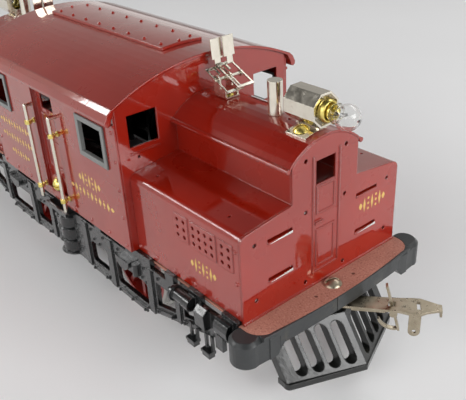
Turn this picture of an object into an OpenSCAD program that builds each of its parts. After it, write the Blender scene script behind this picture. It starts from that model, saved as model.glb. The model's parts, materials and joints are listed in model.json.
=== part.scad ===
// Model electric locomotive, 0-4-0 steeple cab, for track of 54 mm gauge.
// Millimetres. +X runs along the locomotive to end A, -Y is the left side, +Z is up.
// The origin lies under the middle of the locomotive, level with the wheel flange bottoms.
// End B is end A turned half a turn about Z, and the right side is the left side turned so.

/* [Body] */
// length of the sheet body over both hoods
body_l = 242; // [236:1:248]
// length of the middle cab
cab_l = 117; // [114:1:120]
// width of the cab
cab_w = 84.8; // [84:0.2:86]
// width of the low hoods
hood_w = 77.5; // [77:0.5:79]
// height of the body's bottom edge above the wheel flanges
body_z = 40; // [40:0.5:42]
// height of the cab side wall
cab_h = 54.2; // [53:0.2:56]
// height of the low hood at its outer edge
hood_h = 33; // [31:0.5:34]
// thickness of the body sheet
sheet = 0.8; // [0.6:0.1:1]

/* [Wheels] */
// radius of the wheel tread
tread_r = 20.2; // [19.6:0.1:20.2]
// depth of the wheel flange
flange_h = 1.3; // [1:0.1:1.3]
// distance between the inner faces of two wheels on an axle
back_to_back = 51; // [50.5:0.25:51.5]
// distance of each axle from the middle of the locomotive
axle_x = 43; // [43:0.5:43]
// number of spokes in a wheel
spokes = 10; // [8:1:12]

/* [Moving parts] */
// angle each coupler stands away from the centre line at rest
coupler_rest = 39; // [20:1:42]
// angle of the collector arms above the hood at rest
arm_rest = 25; // [20:1:30]

/* [Hidden] */
axle_z = tread_r + flange_h;
rail_z = flange_h;
cab_x = cab_l / 2;
end_x = body_l / 2;
cab_y = cab_w / 2;
hood_y = hood_w / 2;
gap = 0.05;
round_fn = 40;
// low hood and tower
hood_in_h = hood_h + 2.5;
tower_y = 15.75;
tower_h = 49.2;
tower_r = 23.7;
tower_top = 56.1;
eave_y = 17.3;
cover_t = 0.8;
// roof
roof_top = 70.4;
roof_r = 93.6;
roof_y = 43.3;
roof_t = 1;
roof_over = 1.4;
hatch_l = 89.6;
hatch_w = 19.2;
hatch_t = 1.3;
hatch_pitch = 11.6;
// windows and doors
win_z = [34.4, 49.9];
win_front = [31, 49.9];
win_rear = [35.4, 52];
door_x = 9.45;
door_z = [4.6, 52];
rail_x = 10.8;
rail_y = cab_y + 3;
// side frames
frame_y = 40.5;
frame_t = 2;
frame_top = body_z - 4;
frame_x = 119.6;
post_y = 41.2;
drum_r = 7.2;
drum_y = 38.4;
// ends
front_drop = 1.3;
deck_z = body_z - front_drop - gap;
deck_t = 1;
deck_y = 40;
beam_x = 119.9;
beam_front = 132;
beam_z = 28.75;
beam_mid_z = 32.8;
lobe_x = 124.6;
lobe_y = 41.4;
lobe_r = 5.6;
lobe_bevel = 1.3;
pivot_x = 125;
arm_z = 30.3;
arm_t = 1;
pilot_z = 9.4;
pilot_top = 29.2;
pilot_half = 28;
pilot_apex = 150.1;
pilot_sweep = 0.443;
pilot_lean = 0.65;
// drive
gear_t = 3;
gear_y = 21.4;
pinion_r = 1.5;
axle_r = 2;
pinion_n = 9;
idler_n = 22;
drive_n = 33;
idler_x = (pinion_n + idler_n) / 2;
motor_y = 19;
wheel_t = 6;
// lamp
lamp_z = body_z + 63.8;
lamp_back = 106.8;
lamp_front = 120.4;
lamp_flat = 5.7;
// collector
arm_pin_x = 69;
arm_pin_z = body_z + tower_top + 6.35;
collector_screw_x = 71.9;

// name of the sub-part to draw, or all

// the children turned half a turn about Z
module turned() {
    rotate([0, 0, 180])
        children();
}

// the children as they are and turned half a turn about Z
module both_ends() {
    children();
    turned()
        children();
}

// the children and their mirror image across the XZ plane
module both_sides() {
    children();
    mirror([0, 1, 0])
        children();
}

// a bar along Y, centred on y = 0
module y_rod(x, z, r, l) {
    translate([x, 0, z])
        rotate([90, 0, 0])
            cylinder(r = r, h = l, center = true, $fn = round_fn);
}

// a low rivet head on a wall whose outward side is -Y
module y_rivet(x, y, z, r = 0.85, h = 0.6) {
    translate([x, y + 0.01, z])
        rotate([90, 0, 0])
            cylinder(r1 = r, r2 = 0.5 * r, h = h, $fn = 16);
}

// a hole through a wall across Y
module y_hole(x, y, z, r) {
    translate([x, y, z])
        rotate([90, 0, 0])
            cylinder(r = r, h = 4, center = true, $fn = 24);
}

// points of an arc about (cx, cy), from angle a0 to a1
function arc_points(cx, cy, r, a0, a1, n) =
    [for (i = [0:n]) [cx + r * cos(a0 + (a1 - a0) * i / n), cy + r * sin(a0 + (a1 - a0) * i / n)]];

// a list in the opposite order
function reversed(l) = [for (i = [len(l) - 1:-1:0]) l[i]];

// the arched top of the tower at radius offset d, out to half width y, from right to left
function tower_arc(d, y) =
    let (a = asin(y / (tower_r + d)))
    arc_points(0, tower_top - tower_r, tower_r + d, 90 - a, 90 + a, 14);

// the arched roof at radius offset d, out to half width y, from right to left
function roof_arc(d, y) =
    let (a = asin(y / (roof_r + d)))
    arc_points(0, roof_top - roof_r, roof_r + d, 90 - a, 90 + a, 24);

// cross-section of hood and tower as a filled shape in Y and Z, shrunk inward by d
function hood_outline(d) = concat(
    [[-hood_y + d, 0], [-hood_y + d, hood_h - 3]],
    arc_points(-hood_y + 3, hood_h - 3, 3 - d, 170, 100, 6),
    [[-tower_y + d, hood_in_h - d]],
    reversed(tower_arc(-cover_t - d, tower_y - d)),
    [[tower_y - d, hood_in_h - d]],
    arc_points(hood_y - 3, hood_h - 3, 3 - d, 80, 10, 6),
    [[hood_y - d, hood_h - 3], [hood_y - d, 0]]);

// stands a Y-Z section up and runs it along X from x0 to x1
module run_x(x0, x1) {
    translate([x0, 0, body_z])
        rotate([90, 0, 90])
            linear_extrude(x1 - x0)
                children();
}

// arched roof section between radius offsets d0 and d1, half width y
module roof_band(d0, d1, y) {
    polygon(concat(roof_arc(d1, y), reversed(roof_arc(d0, y))));
}

// centre of the lamp foot screw, its axis square to the arched cover
module at_lamp_screw() {
    translate([113.6, 0, body_z + tower_top - tower_r])
        rotate([10, 0, 0])
            translate([0, 0, tower_r])
                children();
}

// ---- body ----

// punched vent pads of one hood, on its left side
module vent_pads() {
    for (p = [[85.8, 93.6], [94.9, 108.8], [110.1, 117.4]])
        translate([p[0], -hood_y - 0.35, body_z + 18.2])
            cube([p[1] - p[0], 0.5, 10.4]);
}

// the holes punched through the vent pads
module vent_holes() {
    for (x = [87.8, 91.4, 96.7, 100, 103.3, 106.6, 112, 115.4])
        for (z = [20.2, 23.3, 26.4])
            y_hole(x, -hood_y, body_z + z, 0.75);
}

// sheet hood: a low hood on each side of the raised middle tower
module hood() {
    color("firebrick")
        difference() {
            union() {
                difference() {
                    run_x(cab_x + gap, end_x - sheet - gap)
                        polygon(hood_outline(0));
                    translate([0, 0, -0.01])
                        run_x(cab_x, end_x)
                            polygon(hood_outline(sheet));
                    translate([cab_x, -hood_y + sheet, body_z - 1])
                        cube([body_l, hood_w - 2 * sheet, 2]);
                }
                both_sides()
                    vent_pads();
                both_sides()
                    for (x = [59.9, 71.2, 83, 94.9, 106.8, 118.4])
                        y_rivet(x, -hood_y, body_z + 2);
                both_sides()
                    for (z = [14.6, 27])
                        y_rivet(118.6, -hood_y, body_z + z);
            }
            both_sides()
                vent_holes();
            both_sides()
                for (x = [68, 108.8])
                    translate([x, -32.5, body_z + hood_h - 2])
                        cylinder(r = 0.6, h = 5, $fn = 24);
            translate([collector_screw_x, 0, body_z + 50])
                cylinder(r = 1.25, h = 10, $fn = 24);
            translate([103.9, 0, body_z + 50])
                cylinder(r = 0.8, h = 10, $fn = 24);
            at_lamp_screw()
                cylinder(r = 1.25, h = 6, center = true, $fn = 24);
        }
}

// the arched cover on the tower, with its lower edges rolled
module hood_cover() {
    a = asin(eave_y / tower_r);
    color("firebrick")
        difference() {
            union() {
                run_x(cab_x + gap, end_x)
                    polygon(concat(tower_arc(0, eave_y),
                        reversed(tower_arc(-cover_t + gap, eave_y - 0.3))));
                both_sides()
                    translate([cab_x + gap, -eave_y, body_z + tower_top - tower_r + tower_r * cos(a) - 0.55])
                        rotate([0, 90, 0])
                            cylinder(r = 0.9, h = end_x - cab_x - gap, $fn = 24);
            }
            translate([103.9, 0, body_z + 50])
                cylinder(r = 0.8, h = 10, $fn = 24);
            translate([collector_screw_x, 0, body_z + 50])
                cylinder(r = 1.25, h = 10, $fn = 24);
            at_lamp_screw()
                cylinder(r = 1.25, h = 6, center = true, $fn = 24);
        }
}

// end plate of a hood, with pressed door, lamp slots and small holes
module front() {
    y0 = -6.6;
    color("firebrick")
        difference() {
            union() {
                difference() {
                    run_x(end_x - sheet, end_x) {
                        polygon(hood_outline(0));
                        translate([-hood_y, -front_drop])
                            square([hood_w, front_drop + 0.1]);
                    }
                    for (y = [-27.1, 15.9])
                        for (z = [11.4, 26.5])
                            translate([end_x - 2, y, body_z + z - 0.95])
                                cube([4, 11.2, 1.9]);
                    translate([end_x - 2, -4.8, body_z + 38.8])
                        cube([4, 9.3, 8.8]);
                }
                // pressed surround of the door
                for (y = [y0, 6.1])
                    translate([end_x - 0.1, y, body_z + 4])
                        cube([0.5, 0.7, 45.6]);
                translate([end_x - 0.1, y0, body_z + 4])
                    cube([0.5, 13.2, 0.7]);
                // upper and lower door panels
                for (z = [[27.4, 10.9], [6, 15.7]])
                    translate([end_x - 0.1, -4.8, body_z + z[0]])
                        difference() {
                            cube([0.45, 9.3, z[1]]);
                            translate([0.1, 0.8, 0.8])
                                cube([1, 7.7, z[1] - 1.6]);
                        }
                // door pull
                translate([end_x - 0.1, -5.9, body_z + 24])
                    cube([1.1, 4.2, 0.8]);
                // folded lower lips of the lamp slots
                for (y = [-27.1, 15.9])
                    for (z = [11.4, 26.5])
                        translate([end_x - 1.6, y, body_z + z - 0.96])
                            cube([1.9, 11.2, 0.75]);
                // hem along the lower edge
                translate([end_x - 0.1, -hood_y, body_z - front_drop])
                    cube([0.5, hood_w, 0.6]);
            }
            for (p = [[-32.7, 27.7], [-32.7, 6.1], [-9.6, 49.2], [-9.6, 30.2], [-9.7, 1.9],
                    [9.6, 49.2], [9.6, 30.2], [9.7, 1.9], [32.7, 27.7], [32.7, 6.1]])
                translate([end_x - 2, p[0], body_z + p[1]])
                    rotate([0, 90, 0])
                        cylinder(r = 0.8, h = 4, $fn = 24);
        }
}

// side wall of the cab, pierced for the door and two windows
module cab_side() {
    color("firebrick")
        difference() {
            union() {
                translate([-cab_x, -cab_y, body_z])
                    cube([cab_l, sheet, cab_h + 3.6]);
                // folded cornice under the eave
                translate([-cab_x, -cab_y - 0.7, body_z + cab_h - 1.6])
                    cube([cab_l, 0.8, 1]);
                for (x = [14.9, 28.6, 42.7, 56])
                    for (s = [-1, 1])
                        y_rivet(s * x, -cab_y, body_z + 2.3);
                for (z = [14.6, 26.5, 38.3, 50])
                    for (s = [-1, 1])
                        y_rivet(s * 56, -cab_y, body_z + z);
            }
            translate([-door_x, -cab_y - 2, body_z + door_z[0]])
                cube([2 * door_x, 4, door_z[1] - door_z[0]]);
            translate([win_front[0], -cab_y - 2, body_z + win_z[0]])
                cube([win_front[1] - win_front[0], 4, win_z[1] - win_z[0]]);
            translate([-win_rear[1], -cab_y - 2, body_z + win_z[0]])
                cube([win_rear[1] - win_rear[0], 4, win_z[1] - win_z[0]]);
            for (x = [-rail_x, rail_x])
                for (z = [5.4, 36])
                    translate([x, -cab_y, body_z + z])
                        rotate([90, 0, 0])
                            cylinder(r = 0.65, h = 3, center = true, $fn = 24);
            for (x = [-rail_x, rail_x])
                translate([x, -cab_y, body_z + 43.6])
                    rotate([90, 0, 0])
                        cylinder(r = 0.95, h = 3, center = true, $fn = 24);
        }
}

// end wall of the cab with two windows and the opening into the hood
module cab_end() {
    lip = 3;
    y = cab_y - sheet - gap;
    color("firebrick")
        difference() {
            union() {
                difference() {
                    run_x(cab_x - sheet, cab_x)
                        polygon(concat(roof_arc(-roof_t - gap, y), [[-y, 0], [y, 0]]));
                    run_x(cab_x - 2, cab_x + 1)
                        difference() {
                            polygon(hood_outline(lip));
                            translate([-60, 44])
                                square([120, 20]);
                        }
                    for (wy = [-36.8, 24])
                        translate([cab_x - 2, wy, body_z + 42.8])
                            cube([4, 12.8, 12.5]);
                }
                // pressed rails under the windows
                for (wy = [-36.9, 23.9])
                    translate([cab_x - 0.1, wy, body_z + 40])
                        cube([0.6, 13, 0.7]);
            }
            for (wy = [-33.4, 33.4])
                translate([cab_x - 2, wy, body_z + 38.4])
                    rotate([0, 90, 0])
                        cylinder(r = 0.6, h = 4, $fn = 24);
        }
}

// arched roof with rolled eaves
module roof() {
    x = cab_x + roof_over;
    lip = [[roof_y - 0.2, 60.05], [roof_y + 1.7, 58.4], [roof_y + 3, 55.8], [roof_y + 2.9, 54.6],
        [roof_y + 2, 54], [roof_y + 0.9, 54.3], [roof_y + 0.2, 56.6], [roof_y - 0.8, 58.4], [roof_y - 1.1, 59]];
    color("firebrick")
        union() {
            run_x(-x, x)
                roof_band(-roof_t, 0, roof_y);
            run_x(-x, x)
                polygon(lip);
            run_x(-x, x)
                mirror([1, 0])
                    polygon(lip);
        }
}

// riveted plate along the top of the roof
module roof_hatch() {
    color("firebrick")
        union() {
            run_x(-hatch_l / 2, hatch_l / 2)
                roof_band(gap, hatch_t, hatch_w / 2);
            for (x = [-3.5:1:3.5])
                for (y = [-7, 7])
                    translate([x * hatch_pitch, y, body_z + roof_top + 0.98])
                        cylinder(r1 = 0.9, r2 = 0.45, h = 0.7, $fn = 16);
            for (x = [-1, 1])
                translate([x * (hatch_l / 2 - 1.9), 0, body_z + roof_top + 1.25])
                    cylinder(r1 = 0.9, r2 = 0.45, h = 0.7, $fn = 16);
        }
}

// recessed cab door with a small window and pressed panels
module cab_door() {
    y = -cab_y + sheet + 1.2;
    color("firebrick")
        difference() {
            union() {
                translate([-door_x - 1.5, y, body_z + 1])
                    cube([2 * door_x + 3, sheet, cab_h - 2]);
                // reveals between the wall and the door leaf
                for (x = [-door_x - 0.8, door_x])
                    translate([x, -cab_y + sheet + gap, body_z + 1])
                        cube([0.8, 1.2, cab_h - 2]);
                // arched boss that carries the body screw
                intersection() {
                    translate([0, y + 0.1, body_z + 8])
                        rotate([90, 0, 0])
                            cylinder(r = 5, h = 2, $fn = round_fn);
                    translate([-6, y - 3, body_z + door_z[0] + gap])
                        cube([12, 6, 12]);
                }
                // pressed panels
                for (z = [[15.6, 13.2], [30.4, 10.6]])
                    translate([-6.4, y - 0.4, body_z + z[0]])
                        difference() {
                            cube([12.8, 0.5, z[1]]);
                            translate([1.1, -0.1, 1.1])
                                cube([10.6, 0.5, z[1] - 2.2]);
                        }
            }
            translate([-5.3, y - 2, body_z + 42.8])
                cube([10.6, 4, 8]);
            translate([0, y, body_z + 8])
                rotate([90, 0, 0])
                    cylinder(r = 1.5, h = 8, center = true, $fn = 24);
        }
}

// one window frame around an opening from x0 to x1
module window_frame(x0, x1) {
    rim = 2.1;
    difference() {
        translate([x0 - 0.9, -cab_y - 0.75, body_z + win_z[0] - 0.9])
            cube([x1 - x0 + 1.8, 0.7, win_z[1] - win_z[0] + 1.8]);
        translate([x0 + rim - 0.9, -cab_y - 2, body_z + win_z[0] + rim - 0.9])
            cube([x1 - x0 - 2 * rim + 1.8, 4, win_z[1] - win_z[0] - 2 * rim + 1.8]);
    }
    difference() {
        translate([x0 + 0.1, -cab_y - 0.1, body_z + win_z[0] + 0.1])
            cube([x1 - x0 - 0.2, sheet + 0.2, win_z[1] - win_z[0] - 0.2]);
        translate([x0 + rim - 0.9, -cab_y - 2, body_z + win_z[0] + rim - 0.9])
            cube([x1 - x0 - 2 * rim + 1.8, 4, win_z[1] - win_z[0] - 2 * rim + 1.8]);
    }
}

// the two grey window frames of one cab side
module window_frames() {
    color("silver")
        union() {
            window_frame(win_front[0], win_front[1]);
            window_frame(-win_rear[1], -win_rear[0]);
        }
}

// two nickel handrails, each bent into the wall at its upper end
module handrails() {
    top = 43.6;
    r = 0.85;
    color("gainsboro")
        for (x = [-rail_x, rail_x]) {
            translate([x, -rail_y, body_z + 0.4])
                cylinder(r = r, h = top - 0.4, $fn = 24);
            translate([x, -rail_y, body_z + top])
                sphere(r = r, $fn = 24);
            translate([x, -rail_y, body_z + top])
                rotate([-90, 0, 0])
                    cylinder(r = r, h = 3.8, $fn = 24);
            translate([x, -rail_y, body_z + 0.4])
                sphere(r = r, $fn = 24);
        }
}

// brass posts that clasp the handrails
module rail_stanchions() {
    color("goldenrod")
        both_ends()
            for (x = [-rail_x, rail_x])
                for (z = [5.4, 36])
                    translate([x, 0, body_z + z]) {
                        difference() {
                            translate([0, -rail_y, -0.8])
                                cylinder(r = 1.5, h = 1.6, $fn = 32);
                            translate([0, -rail_y, -2])
                                cylinder(r = 0.9, h = 4, $fn = 32);
                        }
                        translate([0, -rail_y + 1.2, 0])
                            rotate([-90, 0, 0])
                                cylinder(r = 0.6, h = 3, $fn = 24);
                        translate([0, -cab_y - 0.6, 0])
                            rotate([-90, 0, 0])
                                cylinder(r = 1.2, h = 0.55, $fn = 24);
                    }
}

// ---- lamp, whistle and collector ----

// octagonal lamp case open at the front, on a foot screwed to the hood
module headlight() {
    color("gainsboro")
        union() {
            difference() {
                translate([lamp_back, 0, lamp_z])
                    rotate([0, 90, 0])
                        rotate([0, 0, 22.5])
                            cylinder(r = lamp_flat / cos(22.5), h = lamp_front - lamp_back, $fn = 8);
                translate([lamp_front - 3, 0, lamp_z])
                    rotate([0, 90, 0])
                        rotate([0, 0, 22.5])
                            cylinder(r = (lamp_flat - 0.7) / cos(22.5), h = 10, $fn = 8);
                translate([lamp_back - 1, 0, lamp_z])
                    rotate([0, 90, 0])
                        cylinder(r = 3.25, h = 30, $fn = round_fn);
            }
            difference() {
                union() {
                    run_x(109.6, 118.6)
                        polygon(concat(
                            arc_points(0, tower_top - tower_r, tower_r + 0.75, 84, 108, 10),
                            arc_points(0, tower_top - tower_r, tower_r + gap, 108, 84, 10)));
                    for (x = [108, 117.2])
                        translate([x, -1.2, body_z + tower_top + 0.3])
                            cube([1.2, 2.4, lamp_z - lamp_flat - body_z - tower_top]);
                }
                at_lamp_screw()
                    cylinder(r = 1.25, h = 6, center = true, $fn = 24);
            }
        }
}

// brass screw shell for the lamp
module lamp_socket() {
    color("goldenrod")
        translate([lamp_back + 3, 0, lamp_z])
            rotate([0, 90, 0])
                difference() {
                    union() {
                        cylinder(r = 3.2, h = lamp_front - lamp_back - 1, $fn = round_fn);
                        translate([0, 0, lamp_front - lamp_back - 3])
                            cylinder(r = 3.9, h = 2.2, $fn = round_fn);
                    }
                    translate([0, 0, 2])
                        cylinder(r = 2.7, h = 30, $fn = round_fn);
                }
}

// glass lamp bulb, neck and globe in one
module bulb() {
    color("white", 0.4)
        translate([lamp_front, 0, lamp_z])
            rotate([0, 90, 0])
                union() {
                    translate([0, 0, -8])
                        cylinder(r = 2.6, h = 11, $fn = round_fn);
                    translate([0, 0, 2.9])
                        cylinder(r1 = 2.6, r2 = 3.9, h = 4, $fn = round_fn);
                    translate([0, 0, 8.9])
                        sphere(r = 4.4, $fn = round_fn);
                }
}

// open-topped whistle tube
module whistle() {
    color("gainsboro")
        translate([96.9, 0, body_z + tower_top + gap])
            difference() {
                cylinder(r = 2.7, h = 12.2, $fn = round_fn);
                translate([0, 0, 4])
                    cylinder(r = 2, h = 8, $fn = round_fn);
            }
}

// bent channel with two ears for the collector's pin
module collector_base() {
    x = arm_pin_x - 1.8;
    z = arm_pin_z - 6.2;
    color("gainsboro")
        difference() {
            union() {
                translate([x, -3.1, z])
                    cube([7.2, 6.2, 0.6]);
                both_sides()
                    translate([x, -3.1, z])
                        cube([6.6, 0.6, 3.2]);
                both_sides()
                    translate([x, -3.1, z])
                        cube([3.6, 0.6, 6.2]);
                both_sides()
                    translate([0, -2.8, 0])
                        y_rod(arm_pin_x, arm_pin_z, 1.8, 0.6);
            }
            translate([collector_screw_x, 0, z - 1])
                cylinder(r = 1.25, h = 4, $fn = 24);
            y_rod(arm_pin_x, arm_pin_z, 0.65, 12);
        }
}

// stamped ladder centred on y and raised from the pin by lift, its contact plate standing at plate_x
module collector_ladder(y, lift, plate_x) {
    plate_y = 2.5;
    translate([0, y, lift]) {
        for (s = [-3.9, 3.2])
            translate([-6.4, s, -0.25])
                cube([14.2, 0.7, 0.5]);
        translate([6.6, -3.9, -0.25])
            cube([1.2, 7.8, 0.5]);
        translate([-6.4, -3.9, -0.25])
            cube([1.2, 7.8, 0.5]);
        translate([-5.4, -0.45, -0.25])
            cube([3.2, 0.9, 0.5]);
        translate([plate_x, plate_y, 0])
            rotate([0, -arm_rest - 5, 0]) {
                translate([-0.25, -1.4, -0.1])
                    cube([0.5, 2.8, 3.8]);
                translate([-0.25, -2.5, 2.8])
                    cube([0.5, 5, 7.6]);
            }
    }
}

// places the children on the collector's pin, turned to the resting angle
module at_collector() {
    translate([arm_pin_x, 0, arm_pin_z])
        rotate([0, arm_rest, 0])
            children();
}

// lower arm, fixed on the pin
module collector_arm_1() {
    color("gainsboro")
        at_collector()
            union() {
                collector_ladder(0, 0, -6.4);
                translate([0, 2.4, 0])
                    y_rod(0, 0, 0.6, 13.4);
            }
}

// upper arm, clamped on the longer end of the pin by two eyes
module collector_arm_2() {
    color("gainsboro")
        at_collector()
            difference() {
                union() {
                    collector_ladder(4.8, 0.95, -5.4);
                    for (y = [1.25, 8.35])
                        translate([0, y, 0])
                            y_rod(0, 0, 1.3, 0.7);
                }
                y_rod(0, 0, 0.62, 30);
            }
}

// ---- chassis ----

// front edge of a beam or deck set back by d, from -y to y
function front_edge(d, y) = [for (i = [-12:12]) [beam_front - d - 2 * pow(i / 12, 2), y * i / 12]];

// plan of the buffer beam shrunk by d
function beam_plan(d) = concat(
    [[beam_x + d, -lobe_y + d]],
    arc_points(lobe_x, -lobe_y, lobe_r - d, 213, 352, 12),
    front_edge(d, lobe_y - 1),
    arc_points(lobe_x, lobe_y, lobe_r - d, 8, 147, 12),
    [[beam_x + d, lobe_y - d]]);

// plan of the deck grown by d
module deck_plan(d) {
    r = 7;
    y = deck_y + d;
    x = beam_front - 2.2;
    polygon(concat(
        [[60 - d, -38.4 - d], [beam_x - 0.1, -38.4 - d], [beam_x - 0.1, -y]],
        arc_points(x - r, -y + r, r, 270, 345, 10),
        front_edge(0.4 - d, y - r),
        arc_points(x - r, y - r, r, 15, 90, 10),
        [[beam_x - 0.1, y], [beam_x - 0.1, 38.4 + d], [60 - d, 38.4 + d]]));
}

// deck plate between the side frames, out over the buffer beam
module platform() {
    color("indianred")
        difference() {
            translate([0, 0, deck_z - deck_t])
                linear_extrude(deck_t)
                    deck_plan(0);
            translate([pivot_x, 0, deck_z - 2])
                cylinder(r = 1.7, h = 4, $fn = 32);
            for (y = [-9.8, 9.8])
                translate([126.2, y, deck_z - 2])
                    cylinder(r = 0.7, h = 4, $fn = 24);
            translate([62, -30, deck_z - 2])
                cube([52, 60, 4]);
        }
}

// cast buffer beam, hollow underneath, deeper at its ends
module bumper() {
    color("dimgray")
        difference() {
            union() {
                difference() {
                    union() {
                        translate([0, 0, beam_z])
                            linear_extrude(deck_z - beam_z - lobe_bevel)
                                polygon(beam_plan(0));
                        translate([0, 0, deck_z - lobe_bevel - 0.1])
                            linear_extrude(lobe_bevel + 0.1)
                                intersection() {
                                    polygon(beam_plan(0));
                                    square([300, 2 * lobe_y - 6.4], center = true);
                                }
                        intersection() {
                            for (y = [-lobe_y, lobe_y])
                                translate([lobe_x, y, deck_z - lobe_bevel - 0.1]) {
                                    cylinder(r = lobe_r, h = 0.1, $fn = round_fn);
                                    translate([0, 0, 0.1])
                                        cylinder(r1 = lobe_r, r2 = lobe_r - 1.3, h = lobe_bevel, $fn = round_fn);
                                }
                            translate([beam_x, -60, deck_z - 10])
                                cube([20, 120, 20]);
                        }
                    }
                    translate([0, 0, beam_z - 1])
                        linear_extrude(deck_z - beam_z - 1)
                            polygon(beam_plan(2));
                }
                // webs that stiffen the middle
                for (y = [-31.5, 29.5])
                    translate([beam_x + 1, y, beam_mid_z - 1])
                        cube([10, 2, 4.5]);
                // slight steps where the bar meets its ends
                for (y = [-36, 31.5])
                    translate([127, y, beam_z])
                        cube([3.8, 4.5, deck_z - deck_t - beam_z - 0.2]);
            }
            // seat for the deck
            translate([0, 0, deck_z - deck_t - gap])
                linear_extrude(4)
                    deck_plan(0.1);
            // raised middle of the lower edge
            translate([beam_x - 1, 0, 0])
                rotate([90, 0, 90])
                    linear_extrude(20)
                        polygon([[-33, beam_z - 0.1], [-29.5, beam_mid_z], [29.5, beam_mid_z], [33, beam_z - 0.1]]);
            translate([pivot_x, 0, beam_z])
                cylinder(r = 1.7, h = 12, $fn = 32);
            for (y = [-9.8, 9.8])
                translate([126.2, y, beam_z])
                    cylinder(r = 1, h = 12, $fn = 24);
            // casting seam
            translate([beam_front - 0.4, -5.2, beam_z])
                cube([2, 0.4, 20]);
        }
}

// the children sheared to the slope of the right side of the pilot
module pilot_slope() {
    multmatrix([
        [1, -pilot_sweep, -pilot_lean, 0],
        [0, 1, 0, 0],
        [0, 0, 1, 0]])
        children();
}

// cast pilot: two slotted plates meeting in a V over a heavier bottom rail
module pilot() {
    t = 3.8;
    slot_r = 2.15;
    slots = 4;
    pitch = 5.75;
    slot_y = 4.4;
    foot = 11.4;
    slot_low = 15.1;
    slot_high = 25.1;
    color("dimgray")
        difference() {
            union() {
                both_sides()
                    translate([pilot_apex, 0, 0])
                        pilot_slope()
                            difference() {
                                translate([-t, -0.01, foot])
                                    cube([t, pilot_half, pilot_top - foot]);
                                for (i = [0:slots - 1])
                                    translate([-t - 1, slot_y + i * pitch, slot_low])
                                        rotate([90, 0, 90])
                                            linear_extrude(t + 2) {
                                                translate([-slot_r, 0])
                                                    square([2 * slot_r, slot_high - slot_low]);
                                                circle(r = slot_r, $fn = 24);
                                                translate([0, slot_high - slot_low])
                                                    circle(r = slot_r, $fn = 24);
                                            }
                            }
                both_sides()
                    pilot_rail();
                // bracket under the buffer beam
                translate([0, 0, pilot_top - 1.4])
                    linear_extrude(1.4)
                        polygon([[121.2, -11], [126, -11], [130.6, 0], [126, 11], [121.2, 11]]);
                for (y = [-15, 12])
                    translate([121.2, y, pilot_top - 1.4])
                        cube([3.2, 3, beam_mid_z - gap - pilot_top + 1.4]);
                translate([121.2, -15, pilot_top - 1.4])
                    cube([3.2, 30, 1.4]);
            }
            translate([pivot_x, 0, 20])
                cylinder(r = 1.7, h = 12, $fn = 32);
        }
}

// right half of the bottom rail of the pilot
module pilot_rail() {
    x0 = 142.8;
    r = 2.2;
    k = -pilot_sweep;
    h = 2.5;
    translate([0, 0, pilot_z])
        linear_extrude(h)
            polygon(concat(
                [[x0 - 5, 0], [x0, 0]],
                arc_points(x0 + k * (pilot_half - r) - r * 0.9, pilot_half - r + 0.4, r, 20, 110, 8),
                [[x0 - 5 + k * pilot_half, pilot_half]]));
}

// open window in a side frame, with rounded corners
module frame_window(x0, x1, z0, z1) {
    r = 1.6;
    translate([x0 + r, z0])
        square([x1 - x0 - 2 * r, z1 - z0]);
    translate([x0, z0 + r])
        square([x1 - x0, z1 - z0 - 2 * r]);
    for (x = [x0 + r, x1 - r])
        for (z = [z0 + r, z1 - r])
            translate([x, z])
                circle(r = r, $fn = 24);
}

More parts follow.
